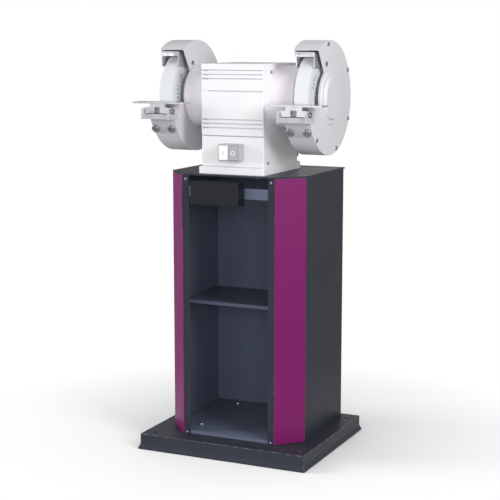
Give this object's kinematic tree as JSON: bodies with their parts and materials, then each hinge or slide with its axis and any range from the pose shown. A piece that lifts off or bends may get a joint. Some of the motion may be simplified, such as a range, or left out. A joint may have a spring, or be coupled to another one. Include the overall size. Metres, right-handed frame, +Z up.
{
  "type": "bench grinder",
  "caption": "Double-wheel bench grinder with guards, tool rests and switch, bolted to an open-front sheet-steel pedestal with a shelf, a hanging water trough and coloured corner strips.",
  "frame": {"origin": "on the floor, under the centre of the base tray", "axes": "+Z up, +X to the operator's right along the shaft, +Y to the back"},
  "size_m": [0.572, 0.451, 1.168],
  "materials": {
    "dark_powder_coat": "semi-gloss anthracite powder coat",
    "trough_paint": "semi-gloss near-black paint",
    "corner_paint": "semi-gloss magenta-violet paint",
    "panel_paint": "pale grey satin paint",
    "housing_paint": "light grey satin paint",
    "guard_paint": "light grey textured paint",
    "bracket_paint": "light grey paint",
    "zinc_fasteners": "bright zinc",
    "bright_plate": "bright zinc-plated sheet",
    "abrasive": "pale bonded abrasive grain",
    "blotter_paper": "printed card",
    "machined_steel": "turned steel",
    "laminated_iron": "laminated iron",
    "copper_winding": "varnished copper",
    "cast_aluminium": "cast",
    "switch_plastic": "grey moulded plastic",
    "start_plastic": "white moulded plastic",
    "stop_plastic": "grey moulded plastic",
    "black_plastic": "black moulded plastic"
  },
  "bodies": {
    "frame": {"arrester_screws": "zinc_fasteners", "base_bolts": "zinc_fasteners", "base_nuts": "zinc_fasteners", "base_tray": "dark_powder_coat", "bearings": "machined_steel", "bracket_bolts": "zinc_fasteners", "cabinet_floor": "dark_powder_coat", "cabinet_shell": "dark_powder_coat", "cable_gland": "black_plastic", "capacitor": "black_plastic", "cover_screws": "zinc_fasteners", "flange_screws": "zinc_fasteners", "foot_plate": "panel_paint", "front_panel": "panel_paint", "guard_bolts": "zinc_fasteners", "head_mount_bolts": "zinc_fasteners", "head_mount_washers": "zinc_fasteners", "housing_screws": "zinc_fasteners", "left_corner_panel": "corner_paint", "left_end_bell": "housing_paint", "left_guard_casing": "guard_paint", "left_guard_cover": "guard_paint", "left_rest_bracket": "bracket_paint", "motor_housing": "housing_paint", "rating_plate": "cast_aluminium", "right_corner_panel": "corner_paint", "right_end_bell": "housing_paint", "right_guard_casing": "guard_paint", "right_guard_cover": "guard_paint", "right_rest_bracket": "bracket_paint", "shelf": "dark_powder_coat", "shelf_supports": "dark_powder_coat", "stator_core": "laminated_iron", "stator_windings": "copper_winding", "switch_box": "switch_plastic", "switch_panel": "panel_paint", "terminal_block": "black_plastic", "top_plate": "dark_powder_coat", "trough_rail": "dark_powder_coat"},
    "rotor": {"shaft": "machined_steel", "rotor_core": "laminated_iron", "rotor_end_rings": "cast_aluminium", "left_wheel": "abrasive", "right_wheel": "abrasive", "blotters": "blotter_paper", "left_inner_flange": "machined_steel", "right_inner_flange": "machined_steel", "left_outer_flange": "machined_steel", "right_outer_flange": "machined_steel", "shaft_nuts": "zinc_fasteners"},
    "left_rest": {"left_tool_rest": "bright_plate", "left_rest_clamp_bolts": "zinc_fasteners"},
    "right_rest": {"right_tool_rest": "bright_plate", "right_rest_clamp_bolts": "zinc_fasteners"},
    "left_arrester": {"left_spark_arrester": "bright_plate"},
    "right_arrester": {"right_spark_arrester": "bright_plate"},
    "start": {"start_button": "start_plastic"},
    "stop": {"stop_button": "stop_plastic"},
    "trough": {"water_trough": "trough_paint"}
  },
  "joints": [
    {"name": "rotor_spin", "type": "hinge", "parent": "frame", "child": "rotor", "pos_m": [0, -0.012, 1.01], "axis": [1, 0, 0], "continuous": true},
    {"name": "left_rest_slide", "type": "slide", "parent": "frame", "child": "left_rest", "axis": [0, 1, 0], "range_m": [-0.006, 0.0015]},
    {"name": "right_rest_slide", "type": "slide", "parent": "frame", "child": "right_rest", "axis": [0, 1, 0], "range_m": [-0.006, 0.0015]},
    {"name": "left_arrester_slide", "type": "slide", "parent": "frame", "child": "left_arrester", "axis": [0, 1, 0], "range_m": [-0.008, 0.006]},
    {"name": "right_arrester_slide", "type": "slide", "parent": "frame", "child": "right_arrester", "axis": [0, 1, 0], "range_m": [-0.008, 0.006]},
    {"name": "start_press", "type": "slide", "parent": "frame", "child": "start", "axis": [0, 1, 0], "range_m": [0, 0.004], "stiffness_N_per_m": 500, "springref_m": -0.003},
    {"name": "stop_press", "type": "slide", "parent": "frame", "child": "stop", "axis": [0, 1, 0], "range_m": [0, 0.004], "stiffness_N_per_m": 500, "springref_m": -0.003},
    {"name": "trough_lift", "type": "slide", "parent": "frame", "child": "trough", "axis": [0, 0, 1], "range_m": [0, 0.012]}
  ]
}
